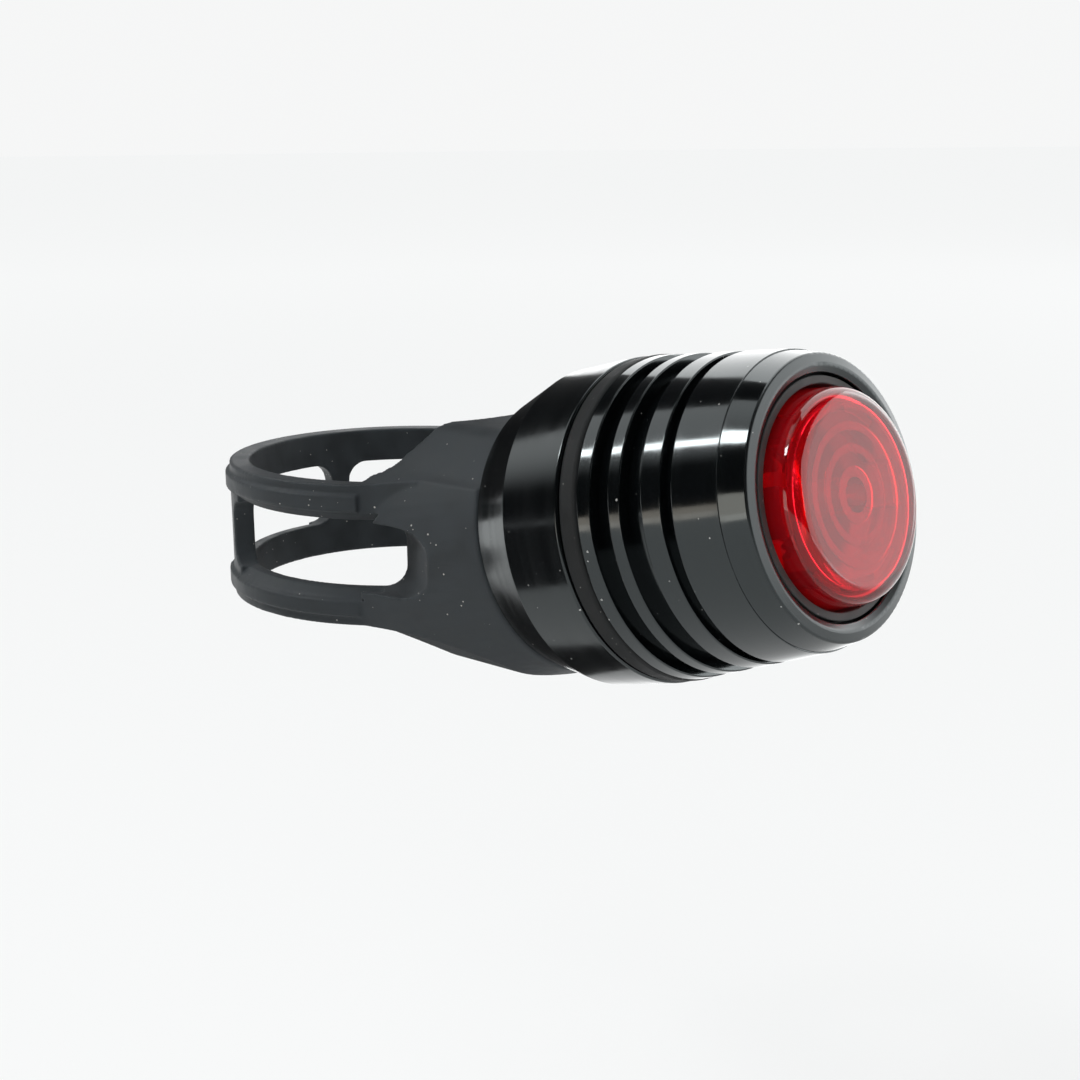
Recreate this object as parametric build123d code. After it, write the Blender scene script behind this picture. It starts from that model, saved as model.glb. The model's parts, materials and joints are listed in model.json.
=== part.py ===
from build123d import *
from build123d.topology import SkipClean
from math import asin, cos, degrees, hypot, radians, sin, tan
import os

# Bicycle rear light on a silicone strap. The origin is the centre of the clamp bore: +Z runs up the
# seat post, the lamp points along -Y and leans up, and the strap is hooked on the +X side.

# Seat post and strap bands
post_radius = 13.6
band_height = 12.0
band_thickness = 1.8
slot_height = 5.75
slot_corner = 1.8
slot_rim_chamfer = 0.7
slot_start_angle = 41.3
slot_flare_angle = 12.8
first_slot_length = 18.3
rung_width = 1.8
rib_rise = 0.4
rib_width = 1.4
rib_start_angle = 56.0
rib_bed = 0.3
tab_length = 8.4
tab_corner = 3.5
tab_edge = 0.5
tab_ridge_rise = 0.6
tab_ridge_width = 1.0
tab_ridge_count = 3

# Wedge pad between the post and the lamp
lamp_tilt = 13.75
pad_depth = 8.2
pad_top = 10.8
pad_bottom = 9.8
pad_shoulder = 6.4
pad_shoulder_round = 2.4
pad_foot = 11.0
pad_foot_round = 5.0
keel_shoulder = 5.0
keel_shoulder_round = 5.0
keel_foot = 11.4
pad_neck_rim = 0.1
pad_sweep = 10.0
pad_flare_share = 0.641
pad_sweep_run = 1.5
pad_sweep_sink = 0.12
pad_web_side = 10.7
pad_side = 11.9
pad_wrap_y = 8.2
pad_edge = 0.4

# Hook plate, screw and washer
washer_station = 3.0
washer_thickness = 0.6
washer_radius = 4.5
washer_room = 0.3
cushion_thickness = 1.0
hook_thickness = 1.6
hook_disc_radius = 6.0
hook_arm_width = 4.4
hook_gap = 0.4
hook_tip_thickness = 1.7
hook_tip_reach = 2.8
hook_edge = 0.4
pocket_clearance = 0.05
screw_radius = 1.5
screw_hole_radius = 1.6
screw_length = 6.0
screw_head_radius = 2.75
screw_head_height = 1.8
screw_head_round = 0.7
socket_width = 2.0
socket_depth = 1.0
thread_clearance = 0.02
thread_relief = 0.4

# Rear cap
cap_wall = 1.18
cap_swell = 0.06
cap_cone_drop = 1.37
cap_cone_length = 4.3
cap_length = 10.0
cap_floor = 2.0
cap_boss_radius = 3.0
cap_thread_depth = 1.35
cap_thread_length = 5.3
cap_edge = 0.2

# Front barrel
seal_width = 1.8
seal_height = 1.05
fin_widths = (1.2, 1.05, 1.7)
groove_widths = (1.55, 1.75, 0.85)
groove_depths = (0.95, 0.95, 0.7)
sleeve_length = 3.75
brow_step = 0.08
brow_length = 2.05
brow_drop = 0.63
nose_round = 0.25
ring_width = 1.41
ring_crest = 0.55
ring_rise = 0.2
ring_round = 0.4
ring_dish = 0.15
lip_thickness = 1.32
fin_edge = 0.12
spigot_wall = 1.1
spigot_length = 5.0
spigot_clearance = 0.05
board_shoulder = 0.45
face_clearance = 0.02

# Coin cells, sleeve and board retainer
cell_radius = 10.0
cell_height = 3.2
cell_rear_gap = 4.2
cell_face_radius = 8.7
cell_grommet_radius = 9.6
cell_step = 0.3
cell_round = 0.35
cell_clearance = 0.15
sleeve_wall = 0.35
sleeve_clearance = 0.1
sleeve_rear_run = 0.8
sleeve_front_run = 0.3
retainer_ledge = 1.95
retainer_gap = 0.5
retainer_clearance = 0.08

# Board and what is soldered to it
board_thickness = 1.0
board_clearance = 0.1
board_step = 1.0
led_count = 4
led_gap = 0.8
led_width = 3.2
led_depth = 2.2
led_height = 0.9
led_dome_radius = 0.85
led_seat = 0.15
switch_width = 5.2
switch_height = 1.3
switch_corner = 0.5
switch_floor = 0.3
cover_thickness = 0.2
cover_lip = 0.9
plunger_radius = 1.2
plunger_flange_radius = 1.7
plunger_flange_height = 0.3
plunger_clearance = 0.15
plunger_rise = 1.2
resistor_size = (1.6, 0.8, 0.45)
resistor_shift = 0.6
resistor_cap_length = 0.3
chip_size = (5.0, 3.9, 1.4)
chip_gap = 1.15
chip_lead_count = 4
chip_lead_size = (0.4, 0.9, 0.2)
chip_lead_pitch = 1.27
capacitor_size = (2.4, 1.3, 1.1)
capacitor_gap = 2.45
contact_thickness = 0.25
contact_width = 3.0
contact_foot = 3.6
contact_gap = 0.05
finger_width = 2.0
finger_count = 3
finger_start = 2.6
finger_reach = 6.6
finger_pad = 1.0
finger_ring_radius = 3.6
finger_hole_radius = 1.7

# Lens, its seal and the inner collar
lens_draft = 0.45
lens_flange_run = 1.21
lens_flange_clearance = 0.15
lens_flange_height = 1.0
lens_straight = 3.1
lens_round = 1.3
lens_wall = 1.3
lens_face_thickness = 1.2
lens_inner_round = 0.3
lens_stem_radius = 1.3
lens_ring_rise = 0.12
lens_ring_width = 1.0
lens_ring_radii = (2.6, 4.2, 5.8)
press_gap = 0.02
seal_lip_thickness = 0.65
seal_lip_clearance = 0.06
seal_lip_room = 0.19
seal_front_drop = 0.05
seal_front_round = 0.1
seal_flange_clearance = 0.1
collar_wall = 0.65
collar_clearance = 0.24
collar_led_clearance = 0.226
collar_foot_clearance = 0.2
collar_foot_height = 0.8
collar_head_gap = 0.9
collar_window_count = 6
collar_window_width = 3.4
collar_window_depth = 2.6

cut_overrun = 2.0

# Radii about the lamp axis, from the switch outwards to the nose and from the cells outwards to the cap
led_orbit = switch_width / 2 + led_gap + led_depth / 2
resistor_orbit = led_orbit + resistor_shift
collar_inner_radius = hypot(led_orbit + led_depth / 2, led_width / 2) + collar_led_clearance
collar_outer_radius = collar_inner_radius + collar_wall
lens_cavity_radius = collar_outer_radius + collar_clearance
lens_radius = lens_cavity_radius + lens_wall
lens_flange_radius = lens_radius + lens_flange_run
lens_bore = lens_flange_radius + lens_flange_clearance
seal_flange_radius = lens_bore - seal_flange_clearance
seal_lip_inner = lens_radius + seal_lip_clearance
seal_lip_outer = seal_lip_inner + seal_lip_thickness
collar_foot_radius = lens_bore - collar_foot_clearance
board_bore = lens_bore + board_shoulder
board_radius = board_bore - board_clearance
retainer_inner_radius = board_radius - retainer_ledge
lip_radius = seal_lip_outer + seal_lip_room
nose_radius = lip_radius + ring_width
sleeve_end_radius = nose_radius + brow_drop
sleeve_inner_radius = cell_radius + cell_clearance
sleeve_outer_radius = sleeve_inner_radius + sleeve_wall
battery_bore = sleeve_outer_radius + sleeve_clearance
spigot_radius = battery_bore + spigot_wall
cap_bore = spigot_radius + spigot_clearance
cap_inner_radius = cap_bore - cap_thread_depth
cap_radius = cap_bore + cap_wall
cap_shoulder_radius = cap_radius - cap_swell
cap_neck_radius = cap_shoulder_radius - cap_cone_drop
pad_neck_radius = cap_neck_radius + pad_neck_rim
chip_offset = contact_width / 2 + chip_gap + chip_size[1] / 2
capacitor_offset = contact_width / 2 + capacitor_gap + capacitor_size[1] / 2

# Stations along the lamp axis, measured from the post's surface
hook_rear = washer_station + washer_thickness + cushion_thickness
hook_front = hook_rear + hook_thickness
cap_shoulder = pad_depth + cap_cone_length
cap_front = pad_depth + cap_length
cap_inside = pad_depth + cap_floor
barrel_rear = cap_front + seal_width
spigot_rear = cap_front - spigot_length
barrel_pitch = sum(fin_widths) + sum(groove_widths)
sleeve_rear = barrel_rear + barrel_pitch
sleeve_front = sleeve_rear + sleeve_length
nose_front = sleeve_front + brow_length
lip_front = nose_front - ring_dish
lip_rear = lip_front - lip_thickness
rear_cell_rear = cap_inside + cell_rear_gap
front_cell_rear = rear_cell_rear + cell_height
cells_front = front_cell_rear + cell_height
retainer_rear = cells_front + retainer_gap
board_rear = barrel_rear + fin_widths[0] + groove_widths[0] + fin_widths[1] + board_step / 2
board_front = board_rear + board_thickness
plunger_top = board_front + switch_height + cover_thickness + plunger_rise
lens_front_of_flange = lip_rear - (seal_flange_radius - lip_radius) - lens_flange_height / 3
lens_rear = lens_front_of_flange - lens_flange_height
lens_edge = lens_front_of_flange + lens_straight
lens_face = lens_edge + lens_round
lens_inside = lens_face - lens_face_thickness
collar_head = lens_inside - collar_head_gap

band_outer_radius = post_radius + band_thickness
lamp = Plane(
    origin=(0, -post_radius, 0),
    x_dir=(1, 0, 0),
    z_dir=(0, -cos(radians(lamp_tilt)), sin(radians(lamp_tilt))),
)
parts = {}


def keep(name, shape):
    parts[name] = shape


def keep_on_lamp(name, shape):
    parts[name] = lamp.location * shape


def barrel_radius_at(station):
    """The barrel tapers evenly from the cap's front to the front end of the sleeve."""
    along = (station - cap_front) / (sleeve_front - cap_front)
    return cap_radius + along * (sleeve_end_radius - cap_radius)


def turned(*corners):
    """A turned piece from corners given as (radius, station) or (radius, station, rounding)."""
    outline = Sketch() + Polygon(*[corner[:2] for corner in corners])
    for corner in corners:
        if len(corner) == 3:
            vertex = outline.vertices().sort_by_distance(corner[:2])[0]
            outline = fillet(vertex, corner[2])
    return revolve(Plane.XZ * outline, Axis.Z)


def tube(outer, inner, rear, front):
    return turned((inner, rear), (outer, rear), (outer, front), (inner, front))


def block(width, depth, rear, front, at=(0, 0)):
    """A rectangular block between two stations of the lamp axis."""
    height = front - rear
    return Pos(at[0], at[1], rear + height / 2) * Box(width, depth, height)


def on_post(radius, angle):
    """A point at an angle from the lamp's side of the post, growing towards the visible arm."""
    return (-radius * sin(radians(angle)), -radius * cos(radians(angle)))


def wedge(start, end, far):
    """Plan outline of a sector of the post's surroundings, wider than the strap."""
    steps = max(2, round((end - start) / slot_start_angle))
    far_points = [on_post(far, start + (end - start) * i / steps) for i in range(steps + 1)]
    return Polygon((0, 0), *far_points)


def arc_angle(length):
    return degrees(length / post_radius)


def slot_angles():
    """Start and end angle of each slot on the round stretch. A rung stands at the tangent point."""
    rung = arc_angle(rung_width)
    first_end = slot_start_angle + arc_angle(first_slot_length)
    tangent_rung_start = 270 - rung / 2
    free = tangent_rung_start - first_end - 2 * rung
    second_start = first_end + rung
    third_start = second_start + free / 2 + rung
    return [
        (slot_start_angle, first_end, slot_flare_angle),
        (second_start, second_start + free / 2, 0),
        (third_start, third_start + free / 2, 0),
    ]


def slot_tool(start, end, flare):
    """Cutter of one slot, with rounded ends. A flared end leans towards the lamp."""
    far = 2 * band_outer_radius
    lean = radians(start - flare)
    mouth = on_post(post_radius, start)
    inward = (mouth[0] + cut_overrun * sin(lean), mouth[1] + cut_overrun * cos(lean))
    outward = (mouth[0] - post_radius * sin(lean), mouth[1] - post_radius * cos(lean))
    steps = 4
    rim = [on_post(far, start + (end - start) * i / steps) for i in range(1, steps)]
    end_out = on_post(far, end)
    end_in = on_post(post_radius - cut_overrun, end)
    plan = Polygon(inward, outward, *rim, end_out, end_in)
    tool = Pos(0, 0, -slot_height / 2) * extrude(plan, slot_height, dir=(0, 0, 1))
    corners = []
    for side in (-1, 1):
        for a, b in ((inward, outward), (end_in, end_out)):
            middle = ((a[0] + b[0]) / 2, (a[1] + b[1]) / 2, side * slot_height / 2)
            corners.append(tool.edges().sort_by_distance(middle)[0])
    return fillet(corners, slot_corner)


def slot_rim(start, end):
    """Cutter that slopes the outer rims of a slot, short of its rounded ends."""
    middle = post_radius + band_thickness / 2
    far = band_outer_radius + rib_rise
    slope = slot_rim_chamfer / (band_thickness / 2)
    half = slot_height / 2
    wide = half + slope * (far - middle)
    section = Polygon((middle, half), (far, wide), (far, -wide), (middle, -half))
    margin = arc_angle(slot_corner)
    first = 270 - end + margin
    return Rot(0, 0, first) * revolve(Plane.XZ * section, Axis.Z, end - start - 2 * margin)


def straight_band(start, end, outer=None, inner=None, height=None):
    """A block on the straight run, from start to end along -Y, between two distances from the post."""
    inner = post_radius if inner is None else inner
    outer = band_outer_radius if outer is None else outer
    height = band_height if height is None else height
    return Pos((inner + outer) / 2, -(start + end) / 2, 0) * Box(outer - inner, end - start, height)


def hook_arm_front_y():
    """How far towards the lamp the hook's arm reaches where the last rung bears on it."""
    tilt = radians(lamp_tilt)
    arm_centre = -(hook_rear + hook_front) / 2 * tan(tilt)
    lowest = arm_centre - hook_arm_width / 2
    return post_radius + hook_front * cos(tilt) - lowest * sin(tilt)


last_rung_start = hook_arm_front_y() + hook_gap / 2
last_rung_end = last_rung_start + rung_width
tab_end = last_rung_end + tab_length


def pad_contour():
    """Front view of the pad: a level body that narrows by an S curve to the bands on each side."""
    reach = 2 * band_outer_radius
    half = band_height / 2
    right = [
        (pad_shoulder, pad_top),
        (pad_foot, half),
        (reach, half),
        (reach, -half),
        (keel_foot, -half),
        (keel_shoulder, -pad_bottom),
    ]
    left = [(-x, z) for x, z in reversed(right)]
    contour = Sketch() + Polygon(*right, *left)
    for corner, rounding in (
        (right[0], pad_shoulder_round),
        (right[1], pad_foot_round),
        (right[4], pad_foot_round),
        (right[5], keel_shoulder_round),
    ):
        for side in (-1, 1):
            vertex = contour.vertices().sort_by_distance((side * corner[0], corner[1]))[0]
            contour = fillet(vertex, rounding)
    return contour


def pad_trumpet():
    """The pad's side wall: turned about the lamp's axis and flared by an arc into the band."""
    stretch = 1 / cos(radians(lamp_tilt))
    ring = band_outer_radius - pad_sweep_sink
    end_radius = pad_neck_radius + pad_flare_share * (ring - pad_neck_radius)
    angle = asin(end_radius / ring)
    end_station = (ring * cos(angle) - post_radius) * stretch
    root_radius = end_radius - pad_sweep_run * cos(angle)
    root_station = end_station + pad_sweep_run * sin(angle) * stretch
    trumpet = turned(
        (0, pad_depth),
        (pad_neck_radius, pad_depth, pad_edge),
        (root_radius, root_station, pad_sweep),
        (end_radius, end_station),
        (end_radius, -post_radius),
        (0, -post_radius),
    )
    return lamp.location * trumpet


def pad_web():
    """The sweep between the upper and lower edges of the band and the pad, on the visible side."""
    front = post_radius + pad_depth
    plan = Sketch() + Circle(band_outer_radius) + Pos(0, -front / 2) * Rectangle(2 * pad_web_side, front)
    meet = (-pad_web_side, -((band_outer_radius**2 - pad_web_side**2) ** 0.5))
    plan = fillet(plan.vertices().sort_by_distance(meet)[0], pad_sweep)
    far = 2 * band_outer_radius
    run = post_radius - pad_wrap_y
    plan &= Pos(-far / 2, -pad_wrap_y - run / 2) * Rectangle(far, run)
    return extrude(plan, band_height, both=True)


def wedge_pad():
    far = 2 * band_outer_radius
    front = extrude(Plane.XZ * pad_contour(), far, dir=(0, -1, 0))
    front &= Pos(0, -far / 2 - pad_wrap_y, 0) * Box(2 * far, far, far)
    front &= Pos(pad_side - far, 0, 0) * Box(2 * far, 2 * far, far)
    return (front & pad_trumpet()) + (front & pad_web())


def strap_bands():
    ring = Cylinder(band_outer_radius, band_height)
    rib_outer = band_outer_radius + rib_rise
    rib_inner = band_outer_radius - rib_bed
    rib_z = (band_height + slot_height) / 4
    ribs = Cylinder(rib_outer, rib_width) - Cylinder(rib_inner, rib_width)
    ribs -= extrude(wedge(-90, rib_start_angle, far=2 * rib_outer), rib_width, both=True)
    gap = extrude(wedge(-90, slot_start_angle / 2, far=2 * rib_outer), band_height, both=True)
    bands = ring - gap
    bands += straight_band(0, tab_end - tab_corner)
    tab = Plane.YZ * (
        Pos(-(tab_end - tab_corner), 0)
        * RectangleRounded(2 * tab_corner, band_height, tab_corner - tab_edge)
    )
    bands += Pos(post_radius, 0, 0) * extrude(tab, band_thickness, dir=(1, 0, 0))
    for z in (-rib_z, rib_z):
        bands += Pos(0, 0, z) * ribs
        straight_rib = straight_band(0, last_rung_start, outer=rib_outer, inner=rib_inner, height=rib_width)
        bands += Pos(0, 0, z) * straight_rib
    pitch = (tab_length - tab_corner) / tab_ridge_count
    for i in range(tab_ridge_count):
        start = last_rung_end + pitch * (i + 1)
        bands += straight_band(
            start,
            start + tab_ridge_width,
            outer=band_outer_radius + tab_ridge_rise,
            inner=rib_inner,
            height=band_height - 2 * rib_width,
        )
    return bands


def straight_slot():
    start = rung_width / 2
    tool = straight_band(
        start,
        last_rung_start,
        outer=band_outer_radius + cut_overrun,
        inner=post_radius - cut_overrun,
        height=slot_height,
    )
    return fillet(tool.edges().filter_by(Axis.X), slot_corner)


def hook_outline(clearance=0.0):
    """Disc and arm of the hook plate, seen along the lamp axis. The arm is level with the slot."""
    reach = band_outer_radius + rib_rise + hook_gap + hook_tip_thickness
    arm_centre = -(hook_rear + hook_front) / 2 * tan(radians(lamp_tilt))
    outline = Sketch() + Circle(hook_disc_radius + clearance)
    outline += Pos(reach / 2, arm_centre) * Rectangle(reach, hook_arm_width + 2 * clearance)
    return outline


def strap_hook():
    tip_start = band_outer_radius + rib_rise + hook_gap
    arm_centre = -(hook_rear + hook_front) / 2 * tan(radians(lamp_tilt))
    plate = Pos(0, 0, hook_rear) * extrude(hook_outline(), hook_thickness)
    tip = block(
        hook_tip_thickness,
        hook_arm_width,
        hook_rear,
        hook_front + hook_tip_reach,
        at=(tip_start + hook_tip_thickness / 2, arm_centre),
    )
    hook = plate + tip
    tip_edges = [e for e in hook.edges() if e.center().X > tip_start + hook_tip_thickness / 2]
    hook = fillet(tip_edges, hook_edge)
    return hook - Cylinder(screw_hole_radius, 2 * pad_depth, align=(Align.CENTER, Align.CENTER, Align.MIN))


def cut_post_bore(body):
    """The bore is cut level by level, so each band keeps an inner wall of its own round the post."""
    upper = (slot_height / 2, band_height / 2, 2 * band_height)
    levels = [-level for level in reversed(upper)] + list(upper)
    with SkipClean():
        for low, high in zip(levels, levels[1:]):
            body -= Pos(0, 0, (low + high) / 2) * Cylinder(post_radius, high - low)
    return body


def strap():
    body = strap_bands() + wedge_pad()
    for start, end, flare in slot_angles():
        body -= slot_tool(start, end, flare)
        body -= slot_rim(start, end)
    body -= straight_slot()
    washer_room_radius = washer_radius + washer_room
    screw_well = tube(washer_room_radius, 0, -pad_depth, washer_station + washer_thickness)
    screw_way = tube(screw_hole_radius, 0, 0, pad_depth)
    boss_way = tube(cap_boss_radius + pocket_clearance, 0, hook_front, pad_depth + cut_overrun)
    pocket = Pos(0, 0, hook_rear - pocket_clearance) * extrude(
        hook_outline(pocket_clearance), hook_thickness + 2 * pocket_clearance
    )
    for cutter in (screw_well, screw_way, boss_way, pocket):
        body -= lamp.location * cutter
    return cut_post_bore(body)


def screw_washer():
    return tube(washer_radius, screw_hole_radius, washer_station, washer_station + washer_thickness)


def strap_screw():
    head_rear = washer_station - screw_head_height
    screw = turned(
        (0, head_rear),
        (screw_head_radius, head_rear, screw_head_round),
        (screw_head_radius, washer_station),
        (screw_radius - thread_clearance, washer_station),
        (screw_radius - thread_clearance, washer_station + screw_length),
        (0, washer_station + screw_length),
    )
    hexagon = RegularPolygon(socket_width / 2, 6, major_radius=False)
    socket = extrude(Pos(0, 0, head_rear) * hexagon, socket_depth)
    return screw - socket


def rear_cap():
    thread_end = washer_station + screw_length + thread_relief
    return turned(
        (screw_radius, hook_front),
        (cap_boss_radius, hook_front),
        (cap_boss_radius, pad_depth),
        (cap_neck_radius, pad_depth, cap_edge),
        (cap_shoulder_radius, cap_shoulder, cap_edge),
        (cap_radius, cap_front, cap_edge),
        (cap_bore, cap_front),
        (cap_bore, cap_front - cap_thread_length),
        (cap_inner_radius, cap_front - cap_thread_length),
        (cap_inner_radius, cap_inside),
        (0, cap_inside),
        (0, thread_end),
        (screw_radius, thread_end),
    )


def joint_seal():
    inner = cap_bore
    outer = inner + seal_height
    rear = cap_front + face_clearance
    front = barrel_rear - face_clearance
    rounding = seal_height / 3
    return turned((inner, rear), (outer, rear, rounding), (outer, front, rounding), (inner, front))


def front_barrel():
    outer = [(spigot_radius, spigot_rear, cap_edge), (spigot_radius, barrel_rear)]
    station = barrel_rear
    for fin, groove, depth in zip(fin_widths, groove_widths, groove_depths):
        fin_front = station + fin
        groove_front = fin_front + groove
        floor = barrel_radius_at(fin_front + groove / 2) - depth
        outer.append((barrel_radius_at(station), station, fin_edge))
        outer.append((barrel_radius_at(fin_front), fin_front, fin_edge))
        outer.append((floor, fin_front))
        outer.append((floor, groove_front))
        station = groove_front
    front = [
        (barrel_radius_at(sleeve_rear), sleeve_rear, fin_edge),
        (sleeve_end_radius, sleeve_front, brow_step / 2),
        (sleeve_end_radius - brow_step, sleeve_front),
        (nose_radius, nose_front, nose_round),
        (lip_radius + ring_crest, nose_front + ring_rise, ring_round),
        (lip_radius, lip_front, cap_edge / 2),
        (lip_radius, lip_rear),
    ]
    inner = [
        (lens_bore, lip_rear),
        (lens_bore, board_front),
        (board_bore, board_front),
        (board_bore, board_rear - board_step),
        (battery_bore, board_rear - board_step),
        (battery_bore, spigot_rear),
    ]
    return turned(*outer, *front, *inner)


def lens_seal():
    rear = lens_front_of_flange + face_clearance
    front = lip_front - seal_front_drop
    top = lip_rear - face_clearance
    return turned(
        (seal_lip_inner, rear),
        (seal_flange_radius, rear),
        (seal_flange_radius, top),
        (seal_lip_outer, top),
        (seal_lip_outer, front, seal_front_round),
        (seal_lip_inner, front, seal_front_round),
    )


def lens():
    edge_radius = lens_radius - lens_draft
    shell = turned(
        (lens_cavity_radius, lens_rear),
        (lens_flange_radius, lens_rear),
        (lens_flange_radius, lens_front_of_flange),
        (lens_radius, lens_front_of_flange),
        (edge_radius, lens_face, lens_round),
        (0, lens_face),
        (0, lens_inside),
        (lens_cavity_radius, lens_inside, lens_inner_round),
    )
    stem_end = plunger_top + press_gap
    stem = tube(lens_stem_radius, 0, stem_end, lens_inside + lens_wall / 2)
    body = shell + stem
    for radius in lens_ring_radii:
        body += turned(
            (radius - lens_ring_width / 2, lens_inside + lens_wall / 4),
            (radius - lens_ring_width / 2, lens_inside - lens_ring_rise),
            (radius + lens_ring_width / 2, lens_inside),
            (radius + lens_ring_width / 2, lens_inside + lens_wall / 4),
        )
    return body


def inner_collar():
    rear = board_front
    foot_front = rear + collar_foot_height
    collar = tube(collar_foot_radius, collar_inner_radius, rear, foot_front)
    collar += tube(collar_outer_radius, collar_inner_radius, rear, collar_head)
    window_rear = collar_head - collar_window_depth
    for i in range(collar_window_count):
        window = block(
            2 * collar_outer_radius,
            collar_window_width,
            window_rear,
            collar_head + cut_overrun,
            at=(collar_outer_radius, 0),
        )
        collar -= Rot(0, 0, 360 * (i + 0.5) / collar_window_count) * window
    return collar


def coin_cell(rear):
    front = rear + cell_height
    return turned(
        (0, rear),
        (cell_face_radius, rear, cell_step / 2),
        (cell_face_radius, rear + cell_step),
        (cell_grommet_radius, rear + cell_step),
        (cell_radius, rear + 2 * cell_step),
        (cell_radius, front, cell_round),
        (0, front),
    )


def battery_sleeve():
    rear = rear_cell_rear - sleeve_rear_run
    return tube(sleeve_outer_radius, sleeve_inner_radius, rear, cells_front + sleeve_front_run)


def board_retainer():
    step = board_rear - board_step
    return turned(
        (retainer_inner_radius, retainer_rear),
        (battery_bore - retainer_clearance, retainer_rear),
        (battery_bore - retainer_clearance, step),
        (board_bore - retainer_clearance, step),
        (board_bore - retainer_clearance, board_rear),
        (retainer_inner_radius, board_rear),
    )


def circuit_board():
    return tube(board_radius, 0, board_rear, board_front)


def led(index):
    seat = board_front
    body = block(led_width, led_depth, seat, seat + led_height, at=(0, led_orbit))
    top = seat + led_height - led_seat
    dome = Pos(0, led_orbit, top) * Sphere(led_dome_radius)
    dome &= block(led_width, led_depth, top, top + led_dome_radius, at=(0, led_orbit))
    return Rot(0, 0, 360 * index / led_count) * (body + dome)


def switch_base():
    base = block(switch_width, switch_width, board_front, board_front + switch_height)
    base = fillet(base.edges().filter_by(Axis.Z), switch_corner)
    well_radius = plunger_flange_radius + plunger_clearance
    return base - tube(well_radius, 0, board_front + switch_floor, board_front + switch_height + cut_overrun)


def switch_cover():
    rear = board_front + switch_height
    cover = block(switch_width, switch_width, rear, rear + cover_thickness)
    cover = fillet(cover.edges().filter_by(Axis.Z), switch_corner)
    for side in (-1, 1):
        cover += block(
            cover_thickness,
            switch_width - 2 * switch_corner,
            rear - cover_lip,
            rear + cover_thickness,
            at=(side * (switch_width + cover_thickness) / 2, 0),
        )
    way = plunger_radius + plunger_clearance
    return cover - tube(way, 0, rear - cut_overrun, rear + cut_overrun)


def switch_plunger():
    flange_front = board_front + switch_height - cover_thickness / 4
    flange_rear = flange_front - plunger_flange_height
    return turned(
        (0, flange_rear),
        (plunger_flange_radius, flange_rear),
        (plunger_flange_radius, flange_front),
        (plunger_radius, flange_front),
        (plunger_radius, plunger_top, plunger_clearance),
        (0, plunger_top),
    )


def resistor(index):
    length, width, height = resistor_size
    body = block(length, width, board_front, board_front + height, at=(0, resistor_orbit))
    for side in (-1, 1):
        body += block(
            resistor_cap_length,
            width + contact_thickness / 2,
            board_front,
            board_front + height + contact_thickness / 4,
            at=(side * (length - resistor_cap_length) / 2, resistor_orbit),
        )
    return Rot(0, 0, 360 * (index + 0.5) / led_count) * body


def control_chip():
    length, width, height = chip_size
    lead_width, lead_length, lead_thickness = chip_lead_size
    chip = block(length, width, board_rear - height, board_rear - lead_thickness, at=(0, chip_offset))
    first = -chip_lead_pitch * (chip_lead_count - 1) / 2
    for i in range(chip_lead_count):
        for side in (-1, 1):
            at = (first + i * chip_lead_pitch, chip_offset + side * (width - lead_length / 2) / 2)
            chip += block(lead_width, lead_length, board_rear - 2 * lead_thickness, board_rear, at=at)
    return chip


def capacitor():
    length, width, height = capacitor_size
    body = block(length, width, board_rear - height, board_rear, at=(0, -capacitor_offset))
    return fillet(body.edges().filter_by(Axis.Z), width / 4)


def strip(points, width):
    """A bent strip of sheet metal whose middle line runs through (offset, station) points."""
    sheet = trace(Polyline(*points), contact_thickness)
    return extrude(Plane.XZ * sheet, width / 2, both=True)


def positive_contact():
    foot = board_rear - contact_thickness / 2
    tip = cells_front + contact_gap + contact_thickness / 2
    lift = contact_thickness * 2
    points = [
        (-contact_foot, foot),
        (-contact_foot / 3, foot),
        (contact_foot / 2, tip),
        (contact_foot * 5 / 6, tip),
        (contact_foot, tip + lift),
    ]
    return strip(points, contact_width)


def cap_contact():
    floor = cap_inside
    middle = floor + contact_thickness / 2
    tip = rear_cell_rear - contact_gap - contact_thickness / 2
    plate = tube(finger_ring_radius, finger_hole_radius, floor, floor + contact_thickness)
    points = [
        (finger_start, middle),
        (finger_ring_radius, middle),
        (finger_reach, tip),
        (finger_reach + finger_pad, tip),
    ]
    finger = strip(points, finger_width)
    for i in range(finger_count):
        plate += Rot(0, 0, 360 * i / finger_count) * finger
    return plate


keep("strap", strap())
keep_on_lamp("strap_hook", strap_hook())
keep_on_lamp("screw_washer", screw_washer())
keep_on_lamp("strap_screw", strap_screw())
keep_on_lamp("rear_cap", rear_cap())
keep_on_lamp("cap_contact", cap_contact())
keep_on_lamp("joint_seal", joint_seal())
keep_on_lamp("front_barrel", front_barrel())
keep_on_lamp("lens_seal", lens_seal())
keep_on_lamp("lens", lens())
keep_on_lamp("inner_collar", inner_collar())
keep_on_lamp("circuit_board", circuit_board())
for number in range(led_count):
    keep_on_lamp(f"led_{number + 1}", led(number))
keep_on_lamp("switch_base", switch_base())
keep_on_lamp("switch_cover", switch_cover())
keep_on_lamp("switch_plunger", switch_plunger())
for number in range(led_count - 1):
    keep_on_lamp(f"resistor_{number + 1}", resistor(number))
keep_on_lamp("control_chip", control_chip())
keep_on_lamp("capacitor", capacitor())
keep_on_lamp("positive_contact", positive_contact())
keep_on_lamp("board_retainer", board_retainer())
keep_on_lamp("battery_sleeve", battery_sleeve())
keep_on_lamp("rear_cell", coin_cell(rear_cell_rear))
keep_on_lamp("front_cell", coin_cell(front_cell_rear))

os.makedirs("parts", exist_ok=True)
for name, shape in parts.items():
    export_step(shape, f"parts/{name}.step")
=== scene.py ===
"""A small bicycle rear light on a silicone strap, finished and set on a plain studio stage."""

import json
import math

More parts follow.
